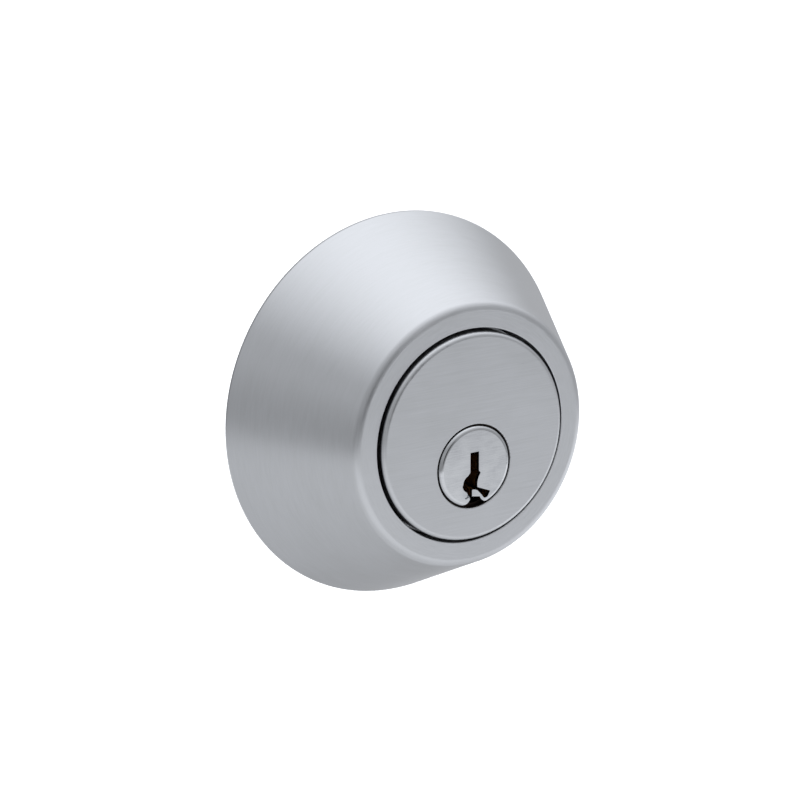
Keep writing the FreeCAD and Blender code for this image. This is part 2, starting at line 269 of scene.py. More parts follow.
def brightChromePlug():
    s = brightPlug
    material, tree, shader = metalMaterial("bright chrome on brass plug", {})
    place, xyz = objectPoint(tree)
    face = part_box("key_plug")[0].y
    behind = between(tree, xyz[1], 0, 1, face + s["chromeEnd"], face + s["brassStart"])
    lines = straightStreaks(tree, place, s["scratchPitch"], s["scratchLength"], 3.0)
    haze = clouds(tree, place, s["haze"])
    wear = math2(tree, "MULTIPLY", lines, haze)
    chrome = blendColour(tree, between(tree, wear, 0, 1, *wearWindow), hexColour(s["chrome"]),
                         hexColour(s["chromeDull"]))
    brass = blendColour(tree, between(tree, haze, 0, 1, *middleWindow), hexColour(s["brassDark"]),
                        hexColour(s["brass"]))
    tree.links.new(blendColour(tree, behind, chrome, brass), shader.inputs["Base Color"])
    polished = between(tree, wear, s["smooth"], s["rough"], *wearWindow)
    broached = between(tree, lines, s["brassSmooth"], s["brassRough"], *middleWindow)
    rough = addNode(tree, "ShaderNodeMix", None, {0: behind, 2: polished, 3: broached}).outputs[0]
    tree.links.new(rough, shader.inputs["Roughness"])
    tree.links.new(bump(tree, lines, s["scratchDepth"]), shader.inputs["Normal"])
    return material


mottle = {"hazeGrains": 6, "hazeShare": 0.6, "skinShare": 0.4}
plainMetals = {
    # oil-quenched steel: nearly black, a slight sheen
    "hardened steel oiled": {"dark": "#45464A", "light": "#636569", "smooth": 0.38, "rough": 0.55,
                             "grain": 0.4 * mm, "depth": 0.004 * mm},
    # drawn spring wire and strip: bright, with a fine skin from the die
    "spring steel drawn": {"dark": "#8A8C90", "light": "#A6A8AB", "smooth": 0.22, "rough": 0.34,
                           "grain": 0.1 * mm, "depth": 0.001 * mm},
    # zinc plate with a clear passivate over rolled steel: pale with a faint warm mottle
    "zinc plated steel": {"dark": "#A7A9AC", "light": "#B3B3AE", "smooth": 0.26, "rough": 0.36,
                          "grain": 0.14 * mm, "depth": 0.0015 * mm, "streak": 4 * mm},
    # brass from bar and strip: warm yellow, a fine even skin
    "brass turned": {"dark": "#A88545", "light": "#C9A860", "smooth": 0.2, "rough": 0.34,
                     "grain": 0.08 * mm, "depth": 0.001 * mm},
    # nickel silver: yellowish white
    "nickel silver turned": {"dark": "#A39F90", "light": "#B9B4A6", "smooth": 0.2, "rough": 0.32,
                             "grain": 0.08 * mm, "depth": 0.001 * mm},
}


def plainMetal(name):
    # a metal with a mottled tone, and a skin of fine grains or of straight streaks
    s = plainMetals[name]
    material, tree, shader = metalMaterial(name, {})
    place = addNode(tree, "ShaderNodeTexCoord").outputs["Object"]
    haze = clouds(tree, place, s["grain"] * mottle["hazeGrains"])
    if "streak" in s:
        skin = straightStreaks(tree, place, s["grain"], s["streak"])
    else:
        skin = clouds(tree, place, s["grain"], 4.0)
    tone = math2(tree, "ADD", math2(tree, "MULTIPLY", haze, mottle["hazeShare"]),
                 math2(tree, "MULTIPLY", skin, mottle["skinShare"]))
    colour = blendColour(tree, between(tree, tone, 0, 1, *narrowWindow), hexColour(s["dark"]),
                         hexColour(s["light"]))
    tree.links.new(colour, shader.inputs["Base Color"])
    tree.links.new(between(tree, tone, s["smooth"], s["rough"], *middleWindow), shader.inputs["Roughness"])
    tree.links.new(bump(tree, skin, s["depth"]), shader.inputs["Normal"])
    return material


materials = {
    "outer_collar": satinChromeTurned(),
    "cylinder_housing": satinChromeStraight(),
    "key_plug": brightChromePlug(),
}
hardened = plainMetal("hardened steel oiled")
springSteel = plainMetal("spring steel drawn")
zincPlate = plainMetal("zinc plated steel")
turnedBrass = plainMetal("brass turned")
nickelSilver = plainMetal("nickel silver turned")
for node in ("guard_ring", "housing_drill_pins", "plug_drill_pin"):
    materials[node] = hardened
materials["wave_spring"] = springSteel
for node in ("tail_retainer", "retainer_screws", "tailpiece"):
    materials[node] = zincPlate
materials["chamber_cover"] = turnedBrass
for k in stackNumbers:
    materials["key_pin_%d" % k] = turnedBrass
    materials["driver_pin_%d" % k] = nickelSilver
    materials["pin_spring_%d" % k] = springSteel
for name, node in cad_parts.items():
    node.material_slots[0].material = materials[name]
print("materials made:", len(set(materials.values())))


# turned pieces: an outline swept round an axis parallel to Y

pathRadius = 1 * mm    # the sweep's own circle; an outline's radii are counted from it
seamMerge = 0.002 * mm


def turnedTree():
    tree = bpy.data.node_groups.new("turnedBlank", "GeometryNodeTree")
    tree.interface.new_socket("Geometry", in_out="INPUT", socket_type="NodeSocketGeometry")
    for name, kind in (("Segments", "NodeSocketInt"), ("Corner steps", "NodeSocketInt"),
                       ("Axis place", "NodeSocketVector"), ("Turn", "NodeSocketVector"),
                       ("Finish", "NodeSocketMaterial")):
        tree.interface.new_socket(name, in_out="INPUT", socket_type=kind)
    tree.interface.new_socket("Geometry", in_out="OUTPUT", socket_type="NodeSocketGeometry")
    given = addNode(tree, "NodeGroupInput").outputs
    outline = addNode(tree, "GeometryNodeMeshToCurve", None, {"Mesh": given["Geometry"]})
    corner = addNode(tree, "GeometryNodeInputNamedAttribute", {"data_type": "FLOAT"}, {"Name": "corner"})
    fillet = addNode(tree, "GeometryNodeFilletCurve", {"mode": "POLY"}, {
        "Curve": outline.outputs[0], "Count": given["Corner steps"],
        "Radius": corner.outputs[0], "Limit Radius": True})
    path = addNode(tree, "GeometryNodeCurvePrimitiveCircle", {"mode": "RADIUS"}, {
        "Resolution": given["Segments"], "Radius": pathRadius})
    level = addNode(tree, "GeometryNodeSetCurveNormal", {"mode": "Z_UP"}, {"Curve": path.outputs[0]})
    sweep = addNode(tree, "GeometryNodeCurveToMesh", None, {
        "Curve": level.outputs[0], "Profile Curve": fillet.outputs[0]})
    merged = addNode(tree, "GeometryNodeMergeByDistance", None, {
        "Geometry": sweep.outputs[0], "Distance": seamMerge})
    smooth = shadeByAngle(tree, merged.outputs[0])
    turn = addNode(tree, "GeometryNodeTransform", None, {
        "Geometry": smooth, "Translation": given["Axis place"], "Rotation": given["Turn"]})
    endTree(tree, turn.outputs[0], given["Finish"])
    return tree


def shadeByAngle(tree, geometry, sharpest=35):
    angle = addNode(tree, "GeometryNodeInputMeshEdgeAngle")
    soft = addNode(tree, "FunctionNodeCompare", {"data_type": "FLOAT", "operation": "LESS_THAN"}, {
        0: angle.outputs["Unsigned Angle"], 1: math.radians(sharpest)})
    faces = addNode(tree, "GeometryNodeSetShadeSmooth", {"domain": "FACE"}, {"Geometry": geometry})
    return addNode(tree, "GeometryNodeSetShadeSmooth", {"domain": "EDGE"}, {
        "Geometry": faces.outputs[0], "Shade Smooth": soft.outputs[0]}).outputs[0]


def endTree(tree, geometry, finish):
    whole = addNode(tree, "GeometryNodeRealizeInstances", None, {"Geometry": geometry})
    coat = addNode(tree, "GeometryNodeSetMaterial", None, {"Geometry": whole.outputs[0], "Material": finish})
    addNode(tree, "NodeGroupOutput", None, {"Geometry": coat.outputs[0]})


def runTree(piece, tree, values):
    modifier = piece.modifiers.new(tree.name, "NODES")
    modifier.node_group = tree
    for item in tree.interface.items_tree:
        if item.in_out == "INPUT" and item.name in values:
            modifier[item.identifier] = values[item.name]
    return bakeModifiers(piece)


alongY = (math.radians(90), 0, 0)    # the blank is swept round Z, then its axis is laid along Y
standing = (math.radians(180), 0, 0)


def turnedPiece(name, outline, finish, segments=96, cornerSteps=4, place=(0, 0, 0), turn=alongY):
    # outline: (radius, height, corner rounding) in millimetres, in order round the section, either way
    loop = zip(outline, outline[1:] + outline[:1])
    if sum(a[0] * b[1] - b[0] * a[1] for a, b in loop) < 0:
        outline = outline[::-1]
    mesh = bpy.data.meshes.new(name)
    points = [(r * mm - pathRadius, h * mm, 0) for r, h, corner in outline]
    mesh.from_pydata(points, [(i, (i + 1) % len(points)) for i in range(len(points))], [])
    corners = mesh.attributes.new("corner", "FLOAT", "POINT")
    for i, (r, h, corner) in enumerate(outline):
        corners.data[i].value = corner * mm
    piece = runTree(linkObject(name, mesh), turned, {
        "Segments": segments, "Corner steps": cornerSteps, "Axis place": place, "Turn": turn,
        "Finish": finish})
    return evenShading(piece)


turned = turnedTree()

collar = {"radius": 32.0, "depth": 21.8, "land": 0.5, "frontRadius": 21.15, "frontRound": 1.6, "wall": 1.6,
          "recessRadius": 17.4, "recessDepth": 4.2, "lipRadius": 15.15, "lipWall": 1.2,
          "edgeRound": 0.15, "rimRound": 0.12, "landRound": 0.2, "floorRound": 0.3, "neckRound": 0.8,
          "insideRound": 0.4, "segments": 256, "cornerSteps": 10}


def collarRadius(y, inset=0.0):
    # the cone's radius at y, or that of a surface lying inset under it
    slope = (collar["radius"] - collar["frontRadius"]) / (collar["depth"] - collar["land"])
    return collar["radius"] + (y + collar["land"]) * slope - inset / math.cos(math.atan(slope))


def makeCollar():
    c = collar
    front, floor = -c["depth"], -c["depth"] + c["recessDepth"]
    behindFront, behindLip = front + c["wall"], floor + c["lipWall"]
    outerWall = c["recessRadius"] + c["wall"]
    outline = [
        (c["radius"], 0, c["rimRound"]), (c["radius"], -c["land"], c["landRound"]),
        (c["frontRadius"], front, c["frontRound"]), (c["recessRadius"], front, c["edgeRound"]),
        (c["recessRadius"], floor, c["floorRound"]), (c["lipRadius"], floor, c["edgeRound"]),
        (c["lipRadius"], behindLip, c["edgeRound"]), (outerWall, behindLip, c["neckRound"]),
        (outerWall, behindFront, c["insideRound"]),
        (collarRadius(behindFront, c["wall"]), behindFront, c["insideRound"]),
        (collarRadius(0, c["wall"]), 0, c["edgeRound"])]
    piece = turnedPiece("collarShell", outline, materials["outer_collar"], c["segments"], c["cornerSteps"])
    finishPiece(piece, "collar", "satin_chrome", "outer_collar")


guard = {"wall": 1.8, "front": 18.6, "back": 4.0, "seat": 0.03, "edgeRound": 0.25, "segments": 160,
         "cornerSteps": 3}


def makeGuardRing():
    g = guard
    front, back, round_ = -g["front"], -g["back"], g["edgeRound"]
    foot = front + g["wall"]
    footRadius = collar["recessRadius"] + collar["wall"] + g["seat"]
    outer, inner = collar["wall"] + g["seat"], collar["wall"] + g["wall"]
    outline = [
        (collarRadius(back, outer), back, round_), (collarRadius(front, outer), front, round_),
        (footRadius, front, round_), (footRadius, foot, round_),
        (collarRadius(foot, inner), foot, 2 * round_), (collarRadius(back, inner), back, round_)]
    piece = turnedPiece("guardLiner", outline, materials["guard_ring"], g["segments"], g["cornerSteps"])
    finishPiece(piece, "collar", "hardened_steel", "guard_ring")


makeCollar()
makeGuardRing()
print("collar and guard ring turned")


# pin stacks: turned pins, and coil springs wound with closed ends

stacks = {"pinRadius": 1.46, "tipRadius": 0.45, "point": 1.1, "crownSag": 0.16, "springCoil": 1.2,
          "springWire": 0.15, "springTurns": 8.0, "turnSteps": 28, "wireSteps": 10, "chamberTop": 13.2,
          "groove": 0.12, "grooveFrom": 0.3, "grooveTo": 0.7, "grooveSlope": 0.02, "crownRing": 0.6,
          "crownShare": 0.36, "tipRound": 0.2, "pointRound": 0.15, "rimRound": 0.08, "crownRound": 0.3,
          "endRound": 0.2, "grooveRound": 0.05, "segments": 40, "cornerSteps": 3, "coilSharp": 60}


def makeKeyPin(k):
    node = "key_pin_%d" % k
    low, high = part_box(node)
    length, r, s = (high.z - low.z) / mm, stacks["pinRadius"], stacks
    ring, ringHeight = r * s["crownRing"], length - s["crownSag"] * s["crownShare"]
    outline = [(0, 0, 0), (s["tipRadius"], 0, s["tipRound"]), (r, s["point"], s["pointRound"]),
               (r, length - s["crownSag"], s["rimRound"]), (ring, ringHeight, s["crownRound"]),
               (0, length, 0)]
    place = (0, (low.y + high.y) / 2, low.z)
    piece = turnedPiece("bottomPin%d" % k, outline, materials[node], s["segments"], s["cornerSteps"],
                        place, standing)
    finishPiece(piece, node, "pin_brass", node)


def makeDriverPin(k):
    node = "driver_pin_%d" % k
    low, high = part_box(node)
    length, r, s = (high.z - low.z) / mm, stacks["pinRadius"], stacks
    waist, start, end, slope = r - s["groove"], s["grooveFrom"], s["grooveTo"], s["grooveSlope"]
    soft = s["grooveRound"]
    outline = [(0, 0, 0), (r, 0, s["endRound"]), (r, length * start, soft),
               (waist, length * (start + slope), soft), (waist, length * (end - slope), soft),
               (r, length * end, soft), (r, length, s["endRound"]), (0, length, 0)]
    place = (0, (low.y + high.y) / 2, low.z)
    piece = turnedPiece("topPin%d" % k, outline, materials[node], s["segments"], s["cornerSteps"],
                        place, standing)
    finishPiece(piece, node, "pin_nickel_silver", node)


def springTree():
    # a wire along a helix whose first and last turns lie closed against the next
    tree = bpy.data.node_groups.new("closedSpring", "GeometryNodeTree")
    tree.interface.new_socket("Geometry", in_out="INPUT", socket_type="NodeSocketGeometry")
    for name in ("Turns", "Coil radius", "Wire radius", "Height", "Turn steps", "Wire steps"):
        kind = "NodeSocketInt" if name.endswith("steps") else "NodeSocketFloat"
        tree.interface.new_socket(name, in_out="INPUT", socket_type=kind)
    tree.interface.new_socket("Foot", in_out="INPUT", socket_type="NodeSocketVector")
    tree.interface.new_socket("Finish", in_out="INPUT", socket_type="NodeSocketMaterial")
    tree.interface.new_socket("Geometry", in_out="OUTPUT", socket_type="NodeSocketGeometry")
    given = addNode(tree, "NodeGroupInput").outputs
    steps = math2(tree, "MULTIPLY", given["Turns"], given["Turn steps"])
    line = addNode(tree, "GeometryNodeMeshLine", None, {"Count": steps})
    wound = math2(tree, "DIVIDE", addNode(tree, "GeometryNodeInputIndex").outputs[0], given["Turn steps"])
    angle = math2(tree, "MULTIPLY", wound, 2 * math.pi)
    wire = math2(tree, "MULTIPLY", given["Wire radius"], 2.0)
    openTurns = math2(tree, "SUBTRACT", given["Turns"], 2.0)
    openRise = math2(tree, "SUBTRACT", given["Height"], math2(tree, "MULTIPLY", wire, 2.0))
    firstTurn = math2(tree, "MINIMUM", wound, 1.0)
    pastFirst = math2(tree, "SUBTRACT", wound, 1.0)
    lastTurn = math2(tree, "MAXIMUM", math2(tree, "SUBTRACT", pastFirst, openTurns), 0.0)
    middle = math2(tree, "MINIMUM", math2(tree, "MAXIMUM", pastFirst, 0.0), openTurns)
    closed = math2(tree, "MULTIPLY", math2(tree, "ADD", firstTurn, lastTurn), wire)
    pitch = math2(tree, "DIVIDE", openRise, openTurns)
    rise = math2(tree, "ADD", closed, math2(tree, "MULTIPLY", middle, pitch))
    place = addNode(tree, "ShaderNodeCombineXYZ", None, {
        0: math2(tree, "MULTIPLY", math2(tree, "COSINE", angle), given["Coil radius"]),
        1: math2(tree, "MULTIPLY", math2(tree, "SINE", angle), given["Coil radius"]), 2: rise})
    foot = addNode(tree, "ShaderNodeVectorMath", {"operation": "ADD"}, {
        0: place.outputs[0], 1: given["Foot"]})
    points = addNode(tree, "GeometryNodeSetPosition", None, {
        "Geometry": line.outputs[0], "Position": foot.outputs[0]})
    path = addNode(tree, "GeometryNodeMeshToCurve", None, {"Mesh": points.outputs[0]})
    section = addNode(tree, "GeometryNodeCurvePrimitiveCircle", {"mode": "RADIUS"}, {
        "Resolution": given["Wire steps"], "Radius": given["Wire radius"]})
    coil = addNode(tree, "GeometryNodeCurveToMesh", None, {
        "Curve": path.outputs[0], "Profile Curve": section.outputs[0], "Fill Caps": True})
    endTree(tree, shadeByAngle(tree, coil.outputs[0], stacks["coilSharp"]), given["Finish"])
    return tree


def makeSpring(k):
    node, s = "pin_spring_%d" % k, stacks
    low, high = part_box(node)
    wire = s["springWire"] * mm
    piece = runTree(linkObject("coilSpring%d" % k, bpy.data.meshes.new(node)), coiled, {
        "Turns": s["springTurns"], "Coil radius": s["springCoil"] * mm, "Wire radius": wire,
        "Height": high.z - low.z - 2 * wire, "Turn steps": s["turnSteps"], "Wire steps": s["wireSteps"],
        "Foot": (0, (low.y + high.y) / 2, low.z + wire), "Finish": materials[node]})
    finishPiece(piece, "cylinder", "spring_steel", node)
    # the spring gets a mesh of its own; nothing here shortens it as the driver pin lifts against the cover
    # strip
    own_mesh(piece)


coiled = springTree()
for k in stackNumbers:
    makeKeyPin(k)
    makeDriverPin(k)
    makeSpring(k)
print("pin stacks made")


# wave spring: one flat strip bent into three waves round the cylinder head's neck

wave = {"inner": 15.35, "outer": 16.6, "thick": 0.3, "waves": 3.0, "segments": 192, "edgeRound": 0.06,
        "edgeSteps": 2, "sharp": 50}


def waveTree():
    # the height follows a cosine of the angle, so the strip repeats its wave without a seam
    tree = bpy.data.node_groups.new("wavedStrip", "GeometryNodeTree")
    tree.interface.new_socket("Geometry", in_out="INPUT", socket_type="NodeSocketGeometry")
    for name in ("Radius", "Width", "Thickness", "Edge round", "Swing", "Middle", "Waves"):
        tree.interface.new_socket(name, in_out="INPUT", socket_type="NodeSocketFloat")
    for name, kind in (("Segments", "NodeSocketInt"), ("Turn", "NodeSocketVector"),
                       ("Finish", "NodeSocketMaterial")):
        tree.interface.new_socket(name, in_out="INPUT", socket_type=kind)
    tree.interface.new_socket("Geometry", in_out="OUTPUT", socket_type="NodeSocketGeometry")
    given = addNode(tree, "NodeGroupInput").outputs
    circle = addNode(tree, "GeometryNodeCurvePrimitiveCircle", {"mode": "RADIUS"}, {
        "Resolution": given["Segments"], "Radius": given["Radius"]})
    xyz = addNode(tree, "ShaderNodeSeparateXYZ", None, {
        0: addNode(tree, "GeometryNodeInputPosition").outputs[0]}).outputs
    angle = math2(tree, "MULTIPLY", math2(tree, "ARCTAN2", xyz[1], xyz[0]), given["Waves"])
    swing = math2(tree, "MULTIPLY", math2(tree, "COSINE", angle), given["Swing"])
    lift = math2(tree, "ADD", swing, given["Middle"])
    offset = addNode(tree, "ShaderNodeCombineXYZ", None, {2: math2(tree, "MULTIPLY", lift, -1.0)})
    bent = addNode(tree, "GeometryNodeSetPosition", None, {
        "Geometry": circle.outputs[0], "Offset": offset.outputs[0]})
    level = addNode(tree, "GeometryNodeSetCurveNormal", {"mode": "Z_UP"}, {"Curve": bent.outputs[0]})
    strip = addNode(tree, "GeometryNodeCurvePrimitiveQuadrilateral", {"mode": "RECTANGLE"}, {
        "Width": given["Width"], "Height": given["Thickness"]})
    rounded = addNode(tree, "GeometryNodeFilletCurve", {"mode": "POLY"}, {
        "Curve": strip.outputs[0], "Count": wave["edgeSteps"], "Radius": given["Edge round"]})
    sweep = addNode(tree, "GeometryNodeCurveToMesh", None, {
        "Curve": level.outputs[0], "Profile Curve": rounded.outputs[0]})
    laid = addNode(tree, "GeometryNodeTransform", None, {
        "Geometry": shadeByAngle(tree, sweep.outputs[0], wave["sharp"]), "Rotation": given["Turn"]})
    endTree(tree, laid.outputs[0], given["Finish"])
    return tree


def makeWaveSpring():
    w = wave
    low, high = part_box("wave_spring")
    piece = runTree(linkObject("waveWasher", bpy.data.meshes.new("waveWasher")), waveTree(), {
        "Radius": (w["inner"] + w["outer"]) / 2 * mm, "Width": (w["outer"] - w["inner"]) * mm,
        "Thickness": w["thick"] * mm, "Edge round": w["edgeRound"] * mm, "Waves": w["waves"],
        "Middle": (low.y + high.y) / 2, "Swing": (high.y - low.y - w["thick"] * mm) / 2,
        "Segments": w["segments"], "Turn": alongY, "Finish": materials["wave_spring"]})
    finishPiece(evenShading(piece), "cylinder", "spring_steel", "wave_spring")


makeWaveSpring()
print("wave spring bent")


# tail end: retainer plate, its two screws, and the tailpiece

rear = {"plateHole": 3.6, "plateRound": 0.3, "holeRound": 0.15, "screwOffset": 3.1, "screwRadius": 1.0,
        "screwClear": 0.15, "headRadius": 1.8, "headThick": 1.2, "headRound": 0.4, "slotHalf": 0.25,
        "slotReach": 1.2, "slotDepth": 0.6, "bladeWidth": 6.3, "bladeThick": 2.0, "taper": 4.0, "narrow": 1.1,
        "barHalf": 4.0, "barThick": 2.4, "barDepth": 2.25, "barPlay": 0.15, "arcSteps": 12, "edge": 0.18,
        "edgeSteps": 3, "edgeAngle": 40, "past": 1.0, "cutMerge": 0.004, "cutDissolve": 0.002,
        "shankRound": 0.2, "neckRound": 0.05, "seatRound": 0.1, "plateSegments": 96, "screwSegments": 48,
        "cornerSteps": 4}


def slab(name, outline, axis, low, high):
    # a flat outline given in the two directions across the axis, and pushed along it from low to high
    across = [i for i in range(3) if i != axis]
    bm = bmesh.new()
    rows = []
    for level in (low, high):
        row = []
        for a, b in outline:
            place = [0, 0, 0]
            place[axis], place[across[0]], place[across[1]] = level, a, b
            row.append(bm.verts.new(place))
        rows.append(row)
        bm.faces.new(row)
    count = len(outline)
    for i in range(count):
        bm.faces.new((rows[0][i], rows[0][(i + 1) % count], rows[1][(i + 1) % count], rows[1][i]))
    bmesh.ops.recalc_face_normals(bm, faces=bm.faces)
    mesh = bpy.data.meshes.new(name)
    bm.to_mesh(mesh)
    bm.free()
    return linkObject(name, mesh)


def disc(x, z, radius, steps=32):
    turn = 2 * math.pi / steps
    return [(x + radius * math.cos(i * turn), z + radius * math.sin(i * turn)) for i in range(steps)]


def combine(piece, operation, *others):
    for other in others:
        step = piece.modifiers.new(other.name, "BOOLEAN")
        step.operation, step.solver, step.object = operation, "EXACT", other
    result = bakeModifiers(piece)
    for other in others:
        bpy.data.objects.remove(other)
    # slivers along the cut are closed up
    bm = bmesh.new()
    bm.from_mesh(result.data)
    bmesh.ops.remove_doubles(bm, verts=bm.verts, dist=rear["cutMerge"] * mm)
    bmesh.ops.dissolve_degenerate(bm, edges=bm.edges, dist=rear["cutDissolve"] * mm)
    bm.to_mesh(result.data)
    bm.free()
    return result


def rearPlaces():
    # the plug's end, the height of its axis, and the plate's outer face
    low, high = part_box("tail_retainer")
    return low.y, (low.z + high.z) / 2, high.y


def screwPlaces():
    axis, offset = rearPlaces()[1], rear["screwOffset"] * mm
    return (-offset, axis + offset), (offset, axis - offset)


def makeRetainer():
    r, (back, axis, top) = rear, rearPlaces()
    radius, thick = (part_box("tail_retainer")[1].x) / mm, (top - back) / mm
    outline = [(r["plateHole"], 0, r["holeRound"]), (radius, 0, r["holeRound"]),
               (radius, thick, r["plateRound"]), (r["plateHole"], thick, r["holeRound"])]
    plate = turnedPiece("tailPlate", outline, materials["tail_retainer"], r["plateSegments"],
                        r["cornerSteps"], (0, back, axis))
    past, hole = r["past"] * mm, (r["screwRadius"] + r["screwClear"]) * mm
    drills = []
    for i, (x, z) in enumerate(screwPlaces()):
        drills.append(slab("drill%d" % i, disc(x, z, hole), 1, back - past, top + past))
    plate = combine(plate, "DIFFERENCE", *drills)
    finishPiece(evenShading(plate), "plug", "zinc_plated_steel", "tail_retainer")


def screwTree():
    # the same screw set at every vertex of the incoming mesh
    tree = bpy.data.node_groups.new("screwSet", "GeometryNodeTree")
    for name, kind in (("Geometry", "NodeSocketGeometry"), ("Screw", "NodeSocketObject"),
                       ("Finish", "NodeSocketMaterial")):
        tree.interface.new_socket(name, in_out="INPUT", socket_type=kind)
    tree.interface.new_socket("Geometry", in_out="OUTPUT", socket_type="NodeSocketGeometry")
    given = addNode(tree, "NodeGroupInput").outputs
    points = addNode(tree, "GeometryNodeMeshToPoints", None, {"Mesh": given["Geometry"]})
    screw = addNode(tree, "GeometryNodeObjectInfo", None, {"Object": given["Screw"]})
    placed = addNode(tree, "GeometryNodeInstanceOnPoints", None, {
        "Points": points.outputs[0], "Instance": screw.outputs["Geometry"]})
    endTree(tree, placed.outputs[0], given["Finish"])
    return tree


def makeScrews():
    r, top = rear, rearPlaces()[2]
    shank = (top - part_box("retainer_screws")[0].y) / mm
    outline = [(0, -shank, 0), (r["screwRadius"], -shank, r["shankRound"]),
               (r["screwRadius"], 0, r["neckRound"]), (r["headRadius"], 0, r["seatRound"]),
               (r["headRadius"], r["headThick"], r["headRound"]), (0, r["headThick"], 0)]
    blank = turnedPiece("screwBlank", outline, materials["retainer_screws"], r["screwSegments"],
                        r["cornerSteps"])
    arm, half = r["slotReach"] * mm, r["slotHalf"] * mm
    floor, past = (r["headThick"] - r["slotDepth"]) * mm, (r["headThick"] + r["past"]) * mm
    cross = [(half, half), (half, arm), (-half, arm), (-half, half), (-arm, half), (-arm, -half),
             (-half, -half), (-half, -arm), (half, -arm), (half, -half), (arm, -half), (arm, half)]
    blank = combine(blank, "DIFFERENCE", slab("crossSlot", cross, 1, floor, past))
    mesh = bpy.data.meshes.new("plateScrews")
    mesh.from_pydata([(x, top, z) for x, z in screwPlaces()], [], [])
    pair = runTree(linkObject("plateScrews", mesh), screwTree(), {
        "Screw": blank, "Finish": materials["retainer_screws"]})
    bpy.data.objects.remove(blank)
    finishPiece(evenShading(pair), "plug", "zinc_plated_steel", "retainer_screws")


def makeTailpiece():
    r, (back, axis) = rear, rearPlaces()[:2]
    tip, width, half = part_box("tailpiece")[1].y, r["bladeWidth"] / 2 * mm, r["barThick"] / 2 * mm
    front, taper, narrow = back - r["barDepth"] * mm, r["taper"] * mm, r["narrow"] * mm
    outline = [(front, -width), (tip - taper, -width), (tip, narrow - width), (tip, width - narrow),
               (tip - taper, width), (front, width)]
    blade = slab("tailBlade", [(y, axis + z) for y, z in outline], 0, -r["bladeThick"] / 2 * mm,
                 r["bladeThick"] / 2 * mm)
    end = r["barHalf"] * mm
    reach = math.asin(half / end)
    arc = [reach * (2 * i / r["arcSteps"] - 1) for i in range(r["arcSteps"] + 1)]
    ends = [(end * math.sin(a), axis + end * math.cos(a)) for a in arc]
    ends += [(-end * math.sin(a), axis - end * math.cos(a)) for a in arc]
    bar = slab("driverBar", ends, 1, front, back - r["barPlay"] * mm)
    piece = combine(blade, "UNION", bar)
    piece.name = "tailBlade"
    bevel = piece.modifiers.new("sheared edges", "BEVEL")
    bevel.width = r["edge"] * mm
    bevel.segments = r["edgeSteps"]
    bevel.limit_method = "ANGLE"
    bevel.angle_limit = math.radians(r["edgeAngle"])
    piece = bakeModifiers(piece)
    piece.data.materials.clear()
    piece.data.materials.append(materials["tailpiece"])
    finishPiece(evenShading(piece), "tail", "zinc_plated_steel", "tailpiece")


makeRetainer()
makeScrews()
makeTailpiece()
print("tail end made")


# floor, light and camera

studio = {"floorDrop": 0.1, "floorSize": 8.0, "floor": "#F6F6F6", "lampHeight": 0.6, "lampSize": 0.8,
          "lampPower": 2.2, "worldStrength": 2.1, "tilt": 0.2,
          "upper": ((-0.3, 0.64), (-0.05, 0.72), (0.145, 0.88), (0.34, 0.8), (0.45, 0.98), (0.7, 1.42),
                    (0.85, 1.72), (1, 2.0)),
          "lowerFront": 1.08, "lowerBack": 0.6, "backFrom": 0.2, "backTo": 0.6, "lowerRight": 0.6,
          "rightFrom": 0.55, "rightTo": 0.8, "lowerFrom": -0.34, "lowerTo": -0.22,
          "dimFrom": -0.4, "dimTo": -0.05, "dimLevel": 0.75,
          "rearFrom": 0.62, "rearTo": 0.8, "rearLevel": 0.5, "rearLift": 0.9, "rearLiftFrom": 0.66,
          "rearLiftTo": 0.8, "frontLift": 0.3, "liftFrom": -0.4, "liftTo": -0.7,
          "gap": (-0.06, -0.99, 0.06), "gapEdge": 0.955, "gapCore": 0.985, "gapLevel": 0.1, "backdrop": 3.9,
          "backdropRings": 24, "floorRough": 0.9, "lampBack": 0.1, "tint": (0.99, 1.0, 1.03)}


def makeFloor():
    half = studio["floorSize"] / 2
    low = -studio["floorDrop"]
    mesh = bpy.data.meshes.new("studioFloor")
    mesh.from_pydata([(-half, -half, low), (half, -half, low), (half, half, low), (-half, half, low)], [],
                     [(0, 1, 2, 3)])
    floor = linkObject("studioFloor", mesh)
    material = bpy.data.materials.new("matte paper floor")
    material.use_nodes = True
    shader = material.node_tree.nodes["Principled BSDF"]
    shader.inputs["Base Color"].default_value = hexColour(studio["floor"])
    shader.inputs["Roughness"].default_value = studio["floorRough"]
    shader.inputs["Specular IOR Level"].default_value = 0.0
    mesh.materials.append(material)
    # the dome's own lower half is what the metal reflects
    floor.visible_glossy = False


def makeBackdrop():
    # a white ball round the floor, seen directly but neither lighting nor reflected
    bm = bmesh.new()
    rings = studio["backdropRings"]
    bmesh.ops.create_uvsphere(bm, u_segments=2 * rings, v_segments=rings, radius=studio["backdrop"])
    mesh = bpy.data.meshes.new("whiteBackdrop")
    bm.to_mesh(mesh)
    bm.free()
    backdrop = linkObject("whiteBackdrop", mesh)
    material = bpy.data.materials.new("lit white backdrop")
    material.use_nodes = True
    shader = material.node_tree.nodes["Principled BSDF"]
    shader.inputs["Base Color"].default_value = (0, 0, 0, 1)
    shader.inputs["Specular IOR Level"].default_value = 0.0
    shader.inputs["Emission Color"].default_value = hexColour("#FFFFFF")
    shader.inputs["Emission Strength"].default_value = 1.0
    mesh.materials.append(material)
    backdrop.visible_glossy = backdrop.visible_diffuse = backdrop.visible_shadow = False


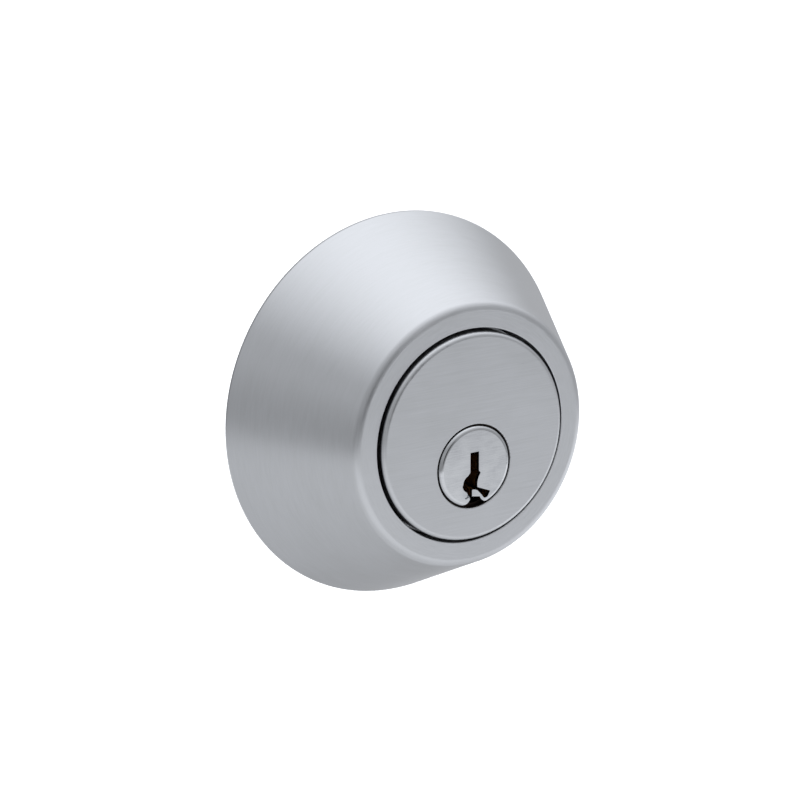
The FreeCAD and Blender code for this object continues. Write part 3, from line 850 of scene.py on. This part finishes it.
def makeLamp():
    # a soft lamp over the lock that only lifts the floor near it
    data = bpy.data.lights.new("floor lamp", "AREA")
    data.shape, data.size, data.energy = "DISK", studio["lampSize"], studio["lampPower"]
    lamp = bpy.data.objects.new("floor lamp", data)
    lamp.location = (0, studio["lampBack"], studio["lampHeight"])
    lamp.visible_glossy = False
    scene.collection.objects.link(lamp)


def makeWorld():
    # a dome, brightest overhead and to the right, with its own lower half and a dark gap straight
    # out from the lock
    world = bpy.data.worlds.new("studio dome")
    scene.world = world
    world.use_nodes = True
    tree = world.node_tree
    direction = addNode(tree, "ShaderNodeTexCoord").outputs["Generated"]
    xyz = addNode(tree, "ShaderNodeSeparateXYZ", None, {0: direction}).outputs
    t, strength, stops = studio, studio["worldStrength"], studio["upper"]
    first, last = stops[0][0], stops[-1][0]
    lean = along(tree, direction, (t["tilt"], 0, 1))
    ramp = addNode(tree, "ShaderNodeValToRGB", None, {0: between(tree, lean, 0, 1, first, last)})
    elements = ramp.color_ramp.elements
    while len(elements) < len(stops):
        elements.new(0.5)
    for element, (place, level) in zip(elements, stops):
        element.position = (place - first) / (last - first)
        element.color = (level / strength, level / strength, level / strength, 1)
    above = math2(tree, "MULTIPLY", ramp.outputs[0],
                  between(tree, xyz[1], t["dimLevel"], 1, t["dimFrom"], t["dimTo"]))
    behind = between(tree, xyz[1], 1, t["rearLevel"], t["rearFrom"], t["rearTo"])
    above = math2(tree, "MULTIPLY", above, behind)
    lowerY = between(tree, xyz[1], t["lowerFront"], t["lowerBack"], t["backFrom"], t["backTo"])
    below = math2(tree, "ADD", lowerY,
                  between(tree, xyz[0], 0, t["lowerRight"], t["rightFrom"], t["rightTo"]))
    below = math2(tree, "ADD", below, between(tree, xyz[1], 0, t["frontLift"], t["liftFrom"], t["liftTo"]))
    rearLift = between(tree, xyz[1], 0, t["rearLift"], t["rearLiftFrom"], t["rearLiftTo"])
    below = math2(tree, "ADD", below, rearLift)
    half = addNode(tree, "ShaderNodeMix", None, {
        0: between(tree, xyz[2], 0, 1, t["lowerFrom"], t["lowerTo"]),
        2: math2(tree, "MULTIPLY", below, 1 / strength), 3: above})
    toGap = along(tree, direction, Vector(t["gap"]).normalized())
    gap = addNode(tree, "ShaderNodeMapRange", {"interpolation_type": "SMOOTHSTEP"}, {
        "Value": toGap, "From Min": t["gapEdge"], "From Max": t["gapCore"]}).outputs[0]
    level = addNode(tree, "ShaderNodeMix", None, {
        0: gap, 2: half.outputs[0], 3: t["gapLevel"] / strength})
    tint = addNode(tree, "ShaderNodeVectorMath", {"operation": "SCALE"}, {
        0: t["tint"], "Scale": level.outputs[0]})
    background = tree.nodes["Background"]
    background.inputs["Strength"].default_value = strength
    tree.links.new(tint.outputs[0], background.inputs["Color"])


camera = {"azimuth": -32.54, "elevation": 16.32, "distance": 417.6 * mm, "right": 0.53 * mm, "up": 0.50 * mm,
          "lens": 114.76, "near": 0.01, "far": 50}


def makeCamera():
    a, e = math.radians(camera["azimuth"]), math.radians(camera["elevation"])
    back = Vector((math.sin(a) * math.cos(e), -math.cos(a) * math.cos(e), math.sin(e)))
    turn = (-back).to_track_quat("-Z", "Y")
    data = bpy.data.cameras.new("front left view")
    data.lens = camera["lens"]
    data.clip_start, data.clip_end = camera["near"], camera["far"]
    eye = bpy.data.objects.new("front left view", data)
    eye.rotation_mode = "QUATERNION"
    eye.rotation_quaternion = turn
    eye.location = back * camera["distance"] + turn @ Vector((camera["right"], camera["up"], 0))
    scene.collection.objects.link(eye)
    scene.camera = eye


makeFloor()
makeBackdrop()
makeLamp()
makeWorld()
makeCamera()
print("studio ready")
